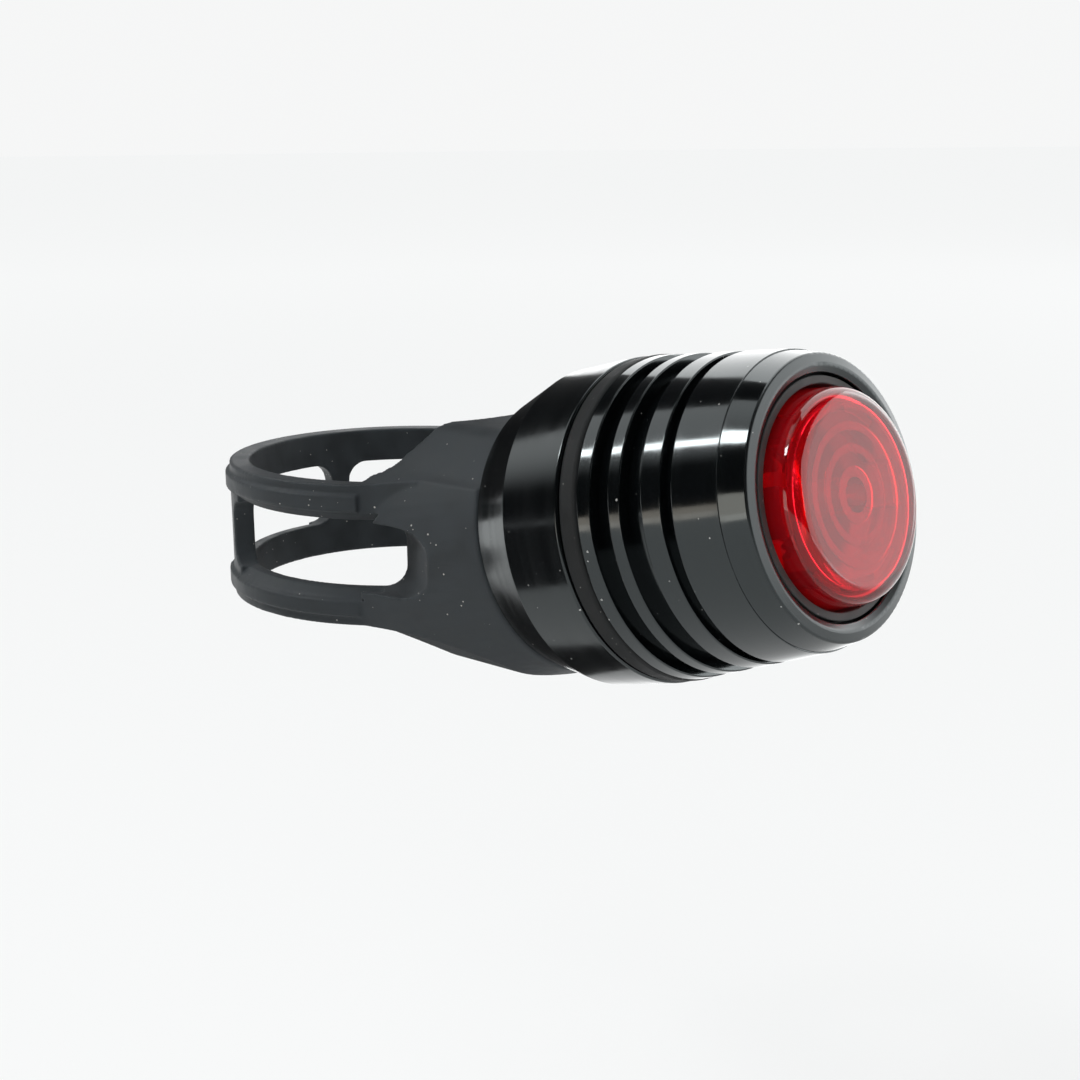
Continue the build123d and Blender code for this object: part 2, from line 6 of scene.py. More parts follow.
import bpy
from bpy.props import FloatProperty, FloatVectorProperty, PointerProperty
from bpy.types import Operator, Panel, PropertyGroup
from mathutils import Euler, Matrix, Vector


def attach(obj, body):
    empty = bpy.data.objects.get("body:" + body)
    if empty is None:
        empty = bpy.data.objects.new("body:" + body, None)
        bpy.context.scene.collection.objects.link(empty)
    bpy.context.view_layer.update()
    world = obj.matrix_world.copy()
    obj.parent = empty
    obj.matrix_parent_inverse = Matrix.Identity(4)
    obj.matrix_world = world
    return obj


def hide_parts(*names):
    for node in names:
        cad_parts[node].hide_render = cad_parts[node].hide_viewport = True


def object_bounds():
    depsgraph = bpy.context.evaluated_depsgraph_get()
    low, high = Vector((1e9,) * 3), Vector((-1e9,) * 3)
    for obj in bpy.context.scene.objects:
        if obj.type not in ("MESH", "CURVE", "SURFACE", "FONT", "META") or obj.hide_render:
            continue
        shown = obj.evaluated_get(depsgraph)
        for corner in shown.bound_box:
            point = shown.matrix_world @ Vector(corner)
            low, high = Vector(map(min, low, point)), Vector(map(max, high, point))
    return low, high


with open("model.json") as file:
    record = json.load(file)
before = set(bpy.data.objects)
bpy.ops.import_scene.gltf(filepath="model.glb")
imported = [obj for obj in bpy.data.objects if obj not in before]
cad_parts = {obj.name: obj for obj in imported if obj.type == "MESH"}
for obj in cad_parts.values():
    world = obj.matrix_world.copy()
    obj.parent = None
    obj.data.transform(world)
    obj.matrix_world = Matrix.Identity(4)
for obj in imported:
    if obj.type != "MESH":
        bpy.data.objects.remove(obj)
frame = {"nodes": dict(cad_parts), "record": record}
cad_low, cad_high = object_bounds()
nodes = frame["nodes"]
mount = frame["record"]["mounts"][0]

bl_info = {
    "name": "Bicycle rear light",
    "version": (1, 0, 0),
    "blender": (4, 5, 0),
    "location": "3D View > Sidebar > Rear light",
    "description": "Finishes a small rear light on its strap and sets it on a studio stage",
    "category": "Object",
}

MILLIMETRE = 0.001
MICRON = 0.000001

# The lamp's axis starts on the post's surface and leans up
POST_RADIUS = mount["dims"]["r_mm"] * MILLIMETRE
LAMP_TILT = math.radians(13.75)
LAMP_AXIS = Vector((0, -math.cos(LAMP_TILT), math.sin(LAMP_TILT)))
LAMP_FOOT = Vector((0, -POST_RADIUS, 0))

WHITE = (1, 1, 1)


# Settings


class StrapSettings(PropertyGroup):
    """The moulded strap"""

    edge_softness: FloatProperty(
        name="Edge softness",
        description="How far the moulded edges are rounded",
        default=0.14 * MILLIMETRE,
        precision=6,
        subtype="DISTANCE",
        unit="LENGTH",
    )
    colour: FloatVectorProperty(
        name="Silicone",
        description="Colour of the moulded silicone",
        default=(0.019, 0.0225, 0.0255),
        subtype="COLOR",
    )
    dust: FloatProperty(
        name="Dust",
        description="Share of the silicone that carries pale specks",
        default=0.5,
        min=0,
        max=1,
        subtype="FACTOR",
    )


class MetalSettings(PropertyGroup):
    """The turned and the plated metal"""

    colour: FloatVectorProperty(
        name="Anodised black",
        description="Colour of the anodised layer",
        default=(0.0014, 0.0018, 0.0021),
        subtype="COLOR",
    )
    mark_pitch: FloatProperty(
        name="Turning marks",
        description="Distance between the marks of the lathe tool",
        default=0.17 * MILLIMETRE,
        precision=6,
        subtype="DISTANCE",
        unit="LENGTH",
    )
    gloss: FloatProperty(
        name="Barrel roughness",
        description="Roughness of the polished front barrel",
        default=0.1,
        min=0,
        max=1,
        subtype="FACTOR",
    )
    satin: FloatProperty(
        name="Cap roughness",
        description="Roughness of the rear cap",
        default=0.16,
        min=0,
        max=1,
        subtype="FACTOR",
    )
    face: FloatProperty(
        name="Front face roughness",
        description="Roughness of the turned ring round the lens",
        default=0.36,
        min=0,
        max=1,
        subtype="FACTOR",
    )
    steel: FloatVectorProperty(
        name="Steel",
        description="Colour of the screw, the washer and the cells",
        default=(0.56, 0.56, 0.57),
        subtype="COLOR",
    )


class LensSettings(PropertyGroup):
    """The push lens, the collar in it and the rubber rings"""

    colour: FloatVectorProperty(
        name="Lens red",
        description="Colour of the clear lens plastic",
        default=(0.92, 0.012, 0.028),
        subtype="COLOR",
    )
    collar: FloatVectorProperty(
        name="Collar",
        description="Colour of the castellated ring in the lens",
        default=(0.05, 0.022, 0.025),
        subtype="COLOR",
    )
    rubber: FloatVectorProperty(
        name="Lens seal rubber",
        description="Colour of the sealing ring round the lens",
        default=(0.034, 0.036, 0.036),
        subtype="COLOR",
    )
    joint: FloatVectorProperty(
        name="Joint seal rubber",
        description="Colour of the sealing ring between cap and barrel",
        default=(0.009, 0.01, 0.0105),
        subtype="COLOR",
    )


class InsideSettings(PropertyGroup):
    """The board, its emitters and the moulded parts"""

    board: FloatVectorProperty(
        name="Board",
        description="Colour of the lacquered circuit board",
        default=(0.035, 0.035, 0.033),
        subtype="COLOR",
    )
    emitter: FloatVectorProperty(
        name="Light emitters",
        description="Colour of the clear domes of the light emitters",
        default=(0.9, 0.55, 0.2),
        subtype="COLOR",
    )
    nylon: FloatVectorProperty(
        name="Nylon",
        description="Colour of the moulded black plastic parts",
        default=(0.02, 0.02, 0.022),
        subtype="COLOR",
    )


class StageSettings(PropertyGroup):
    """The floor and the lights"""

    floor_drop: FloatProperty(
        name="Floor",
        description="Distance from the strap down to the floor",
        default=52 * MILLIMETRE,
        subtype="DISTANCE",
        unit="LENGTH",
    )
    key: FloatProperty(
        name="Window",
        description="Radiance of the long bright window above the lamp",
        default=23.0,
        min=0,
    )
    fill: FloatProperty(
        name="Fill",
        description="Radiance of the soft light on the camera's side",
        default=2.8,
        min=0,
    )


SETTINGS = {
    "light_strap": StrapSettings,
    "light_metal": MetalSettings,
    "light_lens": LensSettings,
    "light_inside": InsideSettings,
    "light_stage": StageSettings,
}


# Node helpers


def wire(tree, values, target):
    """Sets sockets of a node by name. A value that is a socket is linked."""
    for name, value in values.items():
        socket = target.inputs[name]
        if isinstance(value, bpy.types.NodeSocket):
            tree.links.new(value, socket)
        elif socket.type == "RGBA" and len(value) == 3:
            socket.default_value = (*value, 1)
        else:
            socket.default_value = value


def put(tree, kind, values=None, **options):
    """Places a node, sets its options and wires its inputs."""
    made = tree.nodes.new(kind)
    for name, value in options.items():
        setattr(made, name, value)
    wire(tree, values or {}, made)
    return made


def maths(tree, operation, first, second=0.0, third=0.0, clamp=False):
    """Places a Math node and gives its value."""
    values = {0: first, 1: second, 2: third}
    return put(tree, "ShaderNodeMath", values, operation=operation, use_clamp=clamp).outputs[0]


def ramp(tree, value, start, end, low=0.0, high=1.0):
    """A smooth step from low to high while the value goes from start to end."""
    values = {"Value": value, "From Min": start, "From Max": end, "To Min": low, "To Max": high}
    return put(tree, "ShaderNodeMapRange", values, interpolation_type="SMOOTHSTEP").outputs["Result"]


def blend_colour(tree, factor, first, second):
    """Mixes two colours. The sockets of a colour mix are found by their places."""
    values = {0: factor, 6: first, 7: second}
    return put(tree, "ShaderNodeMix", values, data_type="RGBA").outputs[2]


def noise(tree, values, **options):
    """Places a noise and gives its value."""
    return put(tree, "ShaderNodeTexNoise", values, **options).outputs[0]


def dot(tree, where, direction):
    """How far a place lies along a direction."""
    values = {0: where, 1: direction}
    return put(tree, "ShaderNodeVectorMath", values, operation="DOT_PRODUCT").outputs["Value"]


def length(tree, where):
    """How far a place lies from the origin."""
    return put(tree, "ShaderNodeVectorMath", {0: where}, operation="LENGTH").outputs["Value"]


def object_place(tree):
    """The place of a point on its object."""
    return put(tree, "ShaderNodeTexCoord").outputs["Object"]


def group_in(tree, name, values=None):
    """Places a shared node group and gives its outputs."""
    return put(tree, "ShaderNodeGroup", values, node_tree=bpy.data.node_groups[name]).outputs


def bump(tree, height, depth):
    """A normal from a height, whose depth is in metres."""
    return put(tree, "ShaderNodeBump", {"Height": height, "Distance": depth}).outputs["Normal"]


# Shared effects


def new_group(name, inputs, outputs):
    """Starts a node group. Inputs are (name, default) and outputs (name, kind of socket)."""
    tree = bpy.data.node_groups.new(name, "ShaderNodeTree")
    for label, default in inputs:
        socket = tree.interface.new_socket(
            name=label, in_out="INPUT", socket_type="NodeSocketFloat"
        )
        socket.default_value = default
    for label, kind in outputs:
        tree.interface.new_socket(name=label, in_out="OUTPUT", socket_type=kind)
    return tree, tree.nodes.new("NodeGroupInput").outputs, tree.nodes.new("NodeGroupOutput")


def lamp_places():
    """Gives each point its station along the lamp's axis, its radius and its turned place."""
    tree, _, out = new_group(
        "lamp places",
        (),
        (
            ("Station", "NodeSocketFloat"),
            ("Radius", "NodeSocketFloat"),
            ("Vector", "NodeSocketVector"),
        ),
    )
    turn = LAMP_TILT - math.pi / 2
    foot = Euler((turn, 0, 0)).to_matrix() @ LAMP_FOOT
    placing = {"Vector": object_place(tree), "Location": -foot, "Rotation": (turn, 0, 0)}
    turned = put(tree, "ShaderNodeMapping", placing).outputs[0]
    parts = put(tree, "ShaderNodeSeparateXYZ", {"Vector": turned}).outputs
    across = put(tree, "ShaderNodeCombineXYZ", {"X": parts["X"], "Y": parts["Y"]}).outputs[0]
    wire(tree, {"Station": parts["Z"], "Radius": length(tree, across), "Vector": turned}, out)


def lathe_marks():
    """Fine rings left by a lathe tool, with a few stronger ones."""
    stronger_ones = 0.13
    drift_scale = 160.0
    tree, given, out = new_group(
        "lathe marks",
        (("Pitch", 0.1 * MILLIMETRE),),
        (("Height", "NodeSocketFloat"), ("Tone", "NodeSocketFloat")),
    )
    place = group_in(tree, "lamp places")
    along = maths(tree, "ADD", place["Station"], place["Radius"])
    steps = maths(tree, "DIVIDE", along, given["Pitch"])
    fine = noise(tree, {"W": steps, "Scale": 1.0, "Detail": 2.0}, noise_dimensions="1D")
    broad = noise(tree, {"W": steps, "Scale": stronger_ones, "Detail": 1.0}, noise_dimensions="1D")
    drift = noise(tree, {"Vector": place["Vector"], "Scale": drift_scale, "Detail": 1.0})
    height = maths(tree, "MULTIPLY", fine, ramp(tree, drift, 0.3, 0.7, 0.6, 1.0))
    wire(tree, {"Height": height, "Tone": broad}, out)


def fine_grain():
    """The grain of moulded rubber and plastic, as a height and as a tone."""
    broad_share = 0.04
    tree, given, out = new_group(
        "fine grain",
        (("Size", 0.1 * MILLIMETRE),),
        (("Height", "NodeSocketFloat"), ("Tone", "NodeSocketFloat")),
    )
    where = object_place(tree)
    scale = maths(tree, "DIVIDE", 1.0, given["Size"])
    fine = noise(tree, {"Vector": where, "Scale": scale, "Detail": 3.0})
    broad_scale = maths(tree, "MULTIPLY", scale, broad_share)
    broad = noise(tree, {"Vector": where, "Scale": broad_scale, "Detail": 2.0})
    wire(tree, {"Height": fine, "Tone": ramp(tree, broad, 0.25, 0.75)}, out)


def settled_dust():
    """Small pale specks of unlike sizes, gathered in places."""
    largest_speck = 0.13
    gather_scale = 260.0
    tree, given, out = new_group(
        "settled dust",
        (("Spacing", 1 * MILLIMETRE), ("Amount", 0.5)),
        (("Mask", "NodeSocketFloat"),),
    )
    where = object_place(tree)
    scale = maths(tree, "DIVIDE", 1.0, given["Spacing"])
    cells = put(
        tree, "ShaderNodeTexVoronoi", {"Vector": where, "Scale": scale}, feature="F1"
    ).outputs
    size = put(tree, "ShaderNodeSeparateColor", {"Color": cells["Color"]}).outputs
    limit = maths(tree, "MULTIPLY", maths(tree, "POWER", size["Red"], 3.0), largest_speck)
    speck = maths(tree, "LESS_THAN", cells["Distance"], limit)
    gathered = noise(tree, {"Vector": where, "Scale": gather_scale, "Detail": 2.0})
    missing = maths(tree, "SUBTRACT", 1.0, given["Amount"])
    keep = maths(tree, "GREATER_THAN", maths(tree, "ADD", gathered, size["Green"]), missing)
    wire(tree, {"Mask": maths(tree, "MULTIPLY", speck, keep)}, out)


def finger_smears():
    """Broad soft patches where a gloss surface was touched."""
    tree, given, out = new_group(
        "finger smears", (("Size", 4 * MILLIMETRE),), (("Mask", "NodeSocketFloat"),)
    )
    scale = maths(tree, "DIVIDE", 1.0, given["Size"])
    values = {"Vector": object_place(tree), "Scale": scale, "Detail": 4.0, "Distortion": 0.6}
    wire(tree, {"Mask": ramp(tree, noise(tree, values), 0.45, 0.75)}, out)


EFFECTS = (lamp_places, lathe_marks, fine_grain, settled_dust, finger_smears)


# Materials that more than one piece shares


def new_material(name):
    """A material with a Principled shader on its output."""
    material = bpy.data.materials.new(name)
    material.use_nodes = True
    tree = material.node_tree
    tree.nodes.clear()
    output = tree.nodes.new("ShaderNodeOutputMaterial")
    shader = tree.nodes.new("ShaderNodeBsdfPrincipled")
    tree.links.new(shader.outputs["BSDF"], output.inputs["Surface"])
    return material, tree, shader


def moulded(name, colour, roughness):
    """Moulded plastic with a fine grain."""
    grain_size = 0.1 * MILLIMETRE
    grain_depth = 4 * MICRON
    spread = 0.06
    material, tree, shader = new_material(name)
    grain = group_in(tree, "fine grain", {"Size": grain_size})
    base = Vector(colour)
    wire(
        tree,
        {
            "Base Color": blend_colour(tree, grain["Tone"], base * 0.85, base * 1.15),
            "Roughness": ramp(tree, grain["Tone"], 0, 1, roughness - spread, roughness + spread),
            "Normal": bump(tree, grain["Height"], grain_depth),
        },
        shader,
    )
    return material


def plated(name, colour, roughness):
    """Plated or polished metal with a few smears."""
    grain_size = 0.3 * MILLIMETRE
    grain_depth = 1.5 * MICRON
    smear_size = 4 * MILLIMETRE
    smear_roughness = 0.12
    material, tree, shader = new_material(name)
    grain = group_in(tree, "fine grain", {"Size": grain_size})
    smear = group_in(tree, "finger smears", {"Size": smear_size})["Mask"]
    base = Vector(colour)
    shine = maths(tree, "ADD", maths(tree, "MULTIPLY", smear, smear_roughness), roughness)
    wire(
        tree,
        {
            "Base Color": blend_colour(tree, grain["Tone"], base * 0.93, base * 1.05),
            "Metallic": 1.0,
            "Roughness": shine,
            "Normal": bump(tree, grain["Height"], grain_depth),
        },
        shader,
    )
    return material


def dress(material, *names):
    """Gives CAD nodes or new pieces a material in place of the plain one."""
    for name in names:
        piece = bpy.data.objects[name]
        if not piece.material_slots:
            piece.data.materials.append(material)
        for holder in piece.material_slots:
            holder.material = material


# Mesh helpers


def deselect():
    """Leaves nothing selected."""
    bpy.ops.object.select_all(action="DESELECT")


def only(piece):
    """Selects one object and makes it active."""
    deselect()
    piece.select_set(True)
    bpy.context.view_layer.objects.active = piece


def copy_of_node(node, name):
    """A copy of a CAD node's mesh as a new object, with its loose triangles merged."""
    piece = bpy.data.objects.new(name, nodes[node].data.copy())
    bpy.context.scene.collection.objects.link(piece)
    piece.data.materials.clear()
    only(piece)
    if piece.data.has_custom_normals:
        bpy.ops.mesh.customdata_custom_splitnormals_clear()
    bpy.ops.object.mode_set(mode="EDIT")
    bpy.ops.mesh.select_all(action="SELECT")
    bpy.ops.mesh.remove_doubles(threshold=0.5 * MICRON)
    bpy.ops.mesh.normals_make_consistent(inside=False)
    bpy.ops.object.mode_set(mode="OBJECT")
    return piece


def apply_modifier(piece, name, kind, **options):
    """Adds a modifier and applies it."""
    made = piece.modifiers.new(name, kind)
    for option, value in options.items():
        setattr(made, option, value)
    only(piece)
    bpy.ops.object.modifier_apply(modifier=name)


def furthest_station(node):
    """How far a CAD node reaches along the lamp's axis."""
    return max((corner.co - LAMP_FOOT).dot(LAMP_AXIS) for corner in nodes[node].data.vertices)


def least_radius(node):
    """How near a CAD node comes to the lamp's axis."""
    corners = nodes[node].data.vertices
    return min((corner.co - LAMP_FOOT).cross(LAMP_AXIS).length for corner in corners)


# Pieces


class LIGHT_OT_strap(Operator):
    """Rounds the moulded edges of the strap and gives it dusty matte silicone"""

    bl_idname = "light.strap"
    bl_label = "Strap"

    triangle_limit = 180000
    smoothing_rounds = 3
    grain_size = 0.09 * MILLIMETRE
    grain_depth = 9 * MICRON
    dust_spacing = 0.6 * MILLIMETRE
    dust_colour = (0.34, 0.33, 0.31)
    shine_tint = (0.92, 0.98, 1)

    def execute(self, context):
        size = context.scene.light_strap
        strap = copy_of_node("strap", "strap_moulding")
        apply_modifier(
            strap,
            "Voxels",
            "REMESH",
            mode="VOXEL",
            voxel_size=size.edge_softness,
            use_smooth_shade=True,
        )
        apply_modifier(
            strap, "Soft edges", "SMOOTH", factor=0.5, iterations=self.smoothing_rounds
        )
        triangles = sum(len(face.vertices) - 2 for face in strap.data.polygons)
        ratio = min(1.0, self.triangle_limit / triangles)
        apply_modifier(strap, "Thin out", "DECIMATE", ratio=ratio)
        only(strap)
        bpy.ops.object.shade_smooth()
        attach(strap, "base")
        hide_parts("strap")
        dress(self.silicone(size), "strap_moulding")
        return {"FINISHED"}

    def silicone(self, size):
        """Matte silicone with pale specks of dust."""
        material, tree, shader = new_material("silicone, matte")
        grain = group_in(tree, "fine grain", {"Size": self.grain_size})
        settled = {"Spacing": self.dust_spacing, "Amount": size.dust}
        dust = group_in(tree, "settled dust", settled)["Mask"]
        base = Vector(size.colour)
        rubber = blend_colour(tree, grain["Tone"], base * 0.85, base * 1.2)
        wire(
            tree,
            {
                "Base Color": blend_colour(tree, dust, rubber, self.dust_colour),
                "Roughness": ramp(tree, grain["Tone"], 0, 1, 0.56, 0.68),
                "IOR": 1.42,
                "Specular Tint": self.shine_tint,
                "Sheen Weight": 0.05,
                "Sheen Roughness": 0.5,
                "Normal": bump(tree, grain["Height"], self.grain_depth),
            },
            shader,
        )
        return material


class LIGHT_OT_metal(Operator):
    """Gives the turned rear cap and front barrel their anodised black"""

    bl_idname = "light.metal"
    bl_label = "Cap and barrel"

    gloss_depth = 0.9 * MICRON
    satin_depth = 0.5 * MICRON
    smear_size = 5 * MILLIMETRE
    smear_roughness = 0.02
    dust_spacing = 0.7 * MILLIMETRE
    dust_amount = 0.12
    dust_colour = (0.3, 0.3, 0.29)
    shine_tint = (0.88, 0.98, 1)
    face_start = 0.34 * MILLIMETRE
    face_full = 0.24 * MILLIMETRE

    def execute(self, context):
        size = context.scene.light_metal
        gloss = self.anodised("anodised black, gloss", size, size.gloss, self.gloss_depth)
        satin = self.anodised("anodised black, satin", size, size.satin, self.satin_depth)
        dress(gloss, "front_barrel")
        dress(satin, "rear_cap")
        return {"FINISHED"}

    def anodised(self, name, size, roughness, depth):
        """Turned and anodised metal. The ring round the lens is duller than the rest."""
        material, tree, shader = new_material(name)
        marks = group_in(tree, "lathe marks", {"Pitch": size.mark_pitch})
        smear = group_in(tree, "finger smears", {"Size": self.smear_size})["Mask"]
        settled = {"Spacing": self.dust_spacing, "Amount": self.dust_amount}
        dust = group_in(tree, "settled dust", settled)["Mask"]
        base = Vector(size.colour)
        black = blend_colour(tree, marks["Tone"], base * 0.8, base * 1.25)
        shine = ramp(tree, marks["Tone"], 0.3, 0.7, roughness * 0.85, roughness * 1.2)
        shine = maths(tree, "MULTIPLY_ADD", smear, self.smear_roughness, shine)
        reach = furthest_station("front_barrel")
        station = group_in(tree, "lamp places")["Station"]
        face = ramp(tree, station, reach - self.face_start, reach - self.face_full)
        shine = maths(tree, "MAXIMUM", shine, maths(tree, "MULTIPLY", face, size.face))
        wire(
            tree,
            {
                "Base Color": blend_colour(tree, dust, black, self.dust_colour),
                "Roughness": shine,
                "IOR": 1.68,
                "Specular Tint": self.shine_tint,
                "Normal": bump(tree, marks["Height"], depth),
            },
            shader,
        )
        return material


class LIGHT_OT_seals(Operator):
    """Gives the two sealing rings matte rubber"""

    bl_idname = "light.seals"
    bl_label = "Seals"

    grain_size = 0.07 * MILLIMETRE
    grain_depth = 8 * MICRON
    dust_spacing = 0.4 * MILLIMETRE
    dust_amount = 0.5
    dust_colour = (0.16, 0.16, 0.155)

    def execute(self, context):
        size = context.scene.light_lens
        dress(self.rubber("lens seal rubber", size.rubber), "lens_seal")
        dress(self.rubber("joint seal rubber", size.joint), "joint_seal")
        return {"FINISHED"}

    def rubber(self, name, colour):
        """Matte rubber with fine dust."""
        material, tree, shader = new_material(name)
        grain = group_in(tree, "fine grain", {"Size": self.grain_size})
        settled = {"Spacing": self.dust_spacing, "Amount": self.dust_amount}
        dust = group_in(tree, "settled dust", settled)["Mask"]
        base = Vector(colour)
        tone = blend_colour(tree, grain["Tone"], base * 0.8, base * 1.3)
        wire(
            tree,
            {
                "Base Color": blend_colour(tree, dust, tone, self.dust_colour),
                "Roughness": ramp(tree, grain["Tone"], 0, 1, 0.55, 0.7),
                "IOR": 1.35,
                "Normal": bump(tree, grain["Height"], self.grain_depth),
            },
            shader,
        )
        return material


class LIGHT_OT_lens(Operator):
    """Gives the push lens clear red plastic and the ring in it dark plastic"""

    bl_idname = "light.lens"
    bl_label = "Lens and collar"

    flow_size = 1.6 * MILLIMETRE
    flow_depth = 4 * MICRON
    smear_size = 3 * MILLIMETRE
    smear_roughness = 0.04
    hollow_radius = 7.2 * MILLIMETRE
    hollow_depth = 0.9 * MILLIMETRE
    hollow_roughness = 0.07
    hollow_colour = (0.7, 0.012, 0.026)
    face_depth = 1.5 * MILLIMETRE
    side_clear = 0.87
    face_clear = 0.96
    light_let_in = (0.62, 0.1, 0.12)
    collar_grain = 0.12 * MILLIMETRE
    collar_grain_depth = 4 * MICRON
    # The pale bore of the collar is painted light for the lit cavity
    painted_bore_light_depth = 0.05 * MILLIMETRE
    painted_bore_light_colour = (0.25, 0.22, 0.21)

    def execute(self, context):
        size = context.scene.light_lens
        dress(self.red_plastic(size), "lens")
        dress(self.collar_plastic(size), "inner_collar")
        return {"FINISHED"}

    def red_plastic(self, size):
        """Clear red plastic, a little dull inside. Light passes it to the collar as through a filter."""
        soft_edge = 0.1 * MILLIMETRE
        material, tree, shader = new_material("clear red plastic")
        flow = group_in(tree, "fine grain", {"Size": self.flow_size})
        smear = group_in(tree, "finger smears", {"Size": self.smear_size})["Mask"]
        place = group_in(tree, "lamp places")
        station = place["Station"]
        reach = furthest_station("lens")
        hollow = reach - self.hollow_depth
        behind = ramp(tree, station, hollow + soft_edge, hollow)
        radius = self.hollow_radius
        within = ramp(tree, place["Radius"], radius + soft_edge, radius)
        inside = maths(tree, "MULTIPLY", behind, within)
        face = reach - self.face_depth
        front = ramp(tree, station, face - 2 * soft_edge, face)
        inner_face = maths(tree, "MULTIPLY", inside, front)
        smeared = maths(tree, "MULTIPLY", smear, self.smear_roughness)
        dull = maths(tree, "MULTIPLY", inside, self.hollow_roughness)
        clear = ramp(
            tree, station, face + soft_edge, hollow + soft_edge, self.side_clear, self.face_clear
        )
        wire(
            tree,
            {
                "Base Color": blend_colour(tree, inner_face, size.colour, self.hollow_colour),
                "Roughness": maths(tree, "MAXIMUM", smeared, dull),
                "IOR": 1.5,
                "Transmission Weight": clear,
                "Normal": bump(tree, flow["Height"], self.flow_depth),
            },
            shader,
        )
        letting = put(tree, "ShaderNodeBsdfTransparent", {"Color": self.light_let_in})
        shadow = put(tree, "ShaderNodeLightPath").outputs["Is Shadow Ray"]
        choice = {0: shadow, 1: shader.outputs[0], 2: letting.outputs[0]}
        mix = put(tree, "ShaderNodeMixShader", choice)
        output = next(node for node in tree.nodes if node.type == "OUTPUT_MATERIAL")
        tree.links.new(mix.outputs[0], output.inputs["Surface"])
        return material

    def collar_plastic(self, size):
        """Dark plastic, paler in its bore: painted light that makes the bore look lit through the lens.
        """
        material, tree, shader = new_material("collar plastic")
        grain = group_in(tree, "fine grain", {"Size": self.collar_grain})
        radius = group_in(tree, "lamp places")["Radius"]
        bore = least_radius("inner_collar") + self.painted_bore_light_depth
        # Paler towards the bore: painted light for the lit cavity seen through the lens
        painted_bore_light = ramp(tree, radius, bore + 2 * self.painted_bore_light_depth, bore)
        base = Vector(size.collar)
        dark = blend_colour(tree, grain["Tone"], base * 0.7, base * 1.5)
        wire(
            tree,
            {
                "Base Color": blend_colour(tree, painted_bore_light, dark, self.painted_bore_light_colour),
                "Roughness": ramp(tree, grain["Tone"], 0, 1, 0.3, 0.45),
                "Normal": bump(tree, grain["Height"], self.collar_grain_depth),
            },
            shader,
        )
        return material


class LIGHT_OT_inside(Operator):
    """Finishes the board, its components, the switch, the cells and the contacts"""

    bl_idname = "light.inside"
    bl_label = "Board and cells"

    resistor_colour = (0.02, 0.02, 0.022)
    capacitor_colour = (0.42, 0.29, 0.17)
    button_colour = (0.5, 0.1, 0.08)
    film_colour = (0.07, 0.07, 0.075)
    spring_colour = (0.62, 0.55, 0.42)
    cell_brightness = 1.15
    track_scale = 900.0
    track_depth = 15 * MICRON
    printed_radii = (3 * MILLIMETRE, 5.4 * MILLIMETRE)
    printed_colour = (0.86, 0.85, 0.82)
    emitter_base_colour = (0.8, 0.78, 0.72)
    dome_station = 26.2 * MILLIMETRE

    def execute(self, context):
        size = context.scene.light_inside
        steel = Vector(context.scene.light_metal.steel)
        dress(self.lacquer(size), "circuit_board")
        dress(self.emitter(size), "led_1", "led_2", "led_3", "led_4")
        black = moulded("black nylon", size.nylon, 0.5)
        dress(black, "switch_base", "control_chip", "board_retainer")
        resistor = moulded("resistor body", self.resistor_colour, 0.4)
        dress(resistor, "resistor_1", "resistor_2", "resistor_3")
        dress(moulded("capacitor body", self.capacitor_colour, 0.45), "capacitor")
        dress(moulded("switch button", self.button_colour, 0.35), "switch_plunger")
        dress(moulded("insulating film", self.film_colour, 0.4), "battery_sleeve")
        cell = plated("cell steel", steel * self.cell_brightness, 0.16)
        dress(cell, "rear_cell", "front_cell")
        dress(plated("spring strip", self.spring_colour, 0.24), "cap_contact", "positive_contact")
        dress(plated("switch cover steel", steel, 0.3), "switch_cover")
        return {"FINISHED"}

    def lacquer(self, size):
        """Lacquered board with tracks and a printed ring."""
        soft_edge = 0.1 * MILLIMETRE
        grain_size = 0.2 * MILLIMETRE
        print_scale = 260.0
        material, tree, shader = new_material("lacquered board")
        place = group_in(tree, "lamp places")
        grain = group_in(tree, "fine grain", {"Size": grain_size})
        weave = put(
            tree,
            "ShaderNodeTexVoronoi",
            {"Vector": place["Vector"], "Scale": self.track_scale, "Randomness": 0.35},
            feature="DISTANCE_TO_EDGE",
        ).outputs["Distance"]
        track = ramp(tree, weave, 0.08, 0.12)
        inner, outer = self.printed_radii
        radius = place["Radius"]
        past_inner = ramp(tree, radius, inner - soft_edge, inner + soft_edge)
        before_outer = ramp(tree, radius, outer + soft_edge, outer - soft_edge)
        ring = maths(tree, "MULTIPLY", past_inner, before_outer)
        cloud = noise(tree, {"Vector": place["Vector"], "Scale": print_scale})
        printed = maths(tree, "MULTIPLY", ring, ramp(tree, cloud, 0.42, 0.47))
        base = Vector(size.board)
        lacquer = blend_colour(tree, track, base * 0.55, base)
        wire(
            tree,
            {
                "Base Color": blend_colour(tree, printed, lacquer, self.printed_colour),
                "Roughness": ramp(tree, grain["Tone"], 0, 1, 0.3, 0.42),
                "Normal": bump(tree, track, self.track_depth),
            },
            shader,
        )
        return material

    def emitter(self, size):
        """A pale base with a clear dome on it."""
        soft_edge = 0.05 * MILLIMETRE
        grain_size = 0.15 * MILLIMETRE
        grain_depth = 2 * MICRON
        material, tree, shader = new_material("light emitter")
        station = group_in(tree, "lamp places")["Station"]
        start = self.dome_station
        dome = ramp(tree, station, start - soft_edge, start + soft_edge)
        grain = group_in(tree, "fine grain", {"Size": grain_size})
        wire(
            tree,
            {
                "Base Color": blend_colour(tree, dome, self.emitter_base_colour, size.emitter),
                "Roughness": ramp(tree, dome, 0, 1, 0.4, 0.08),
                "Normal": bump(tree, grain["Height"], grain_depth),
            },
            shader,
        )
        return material


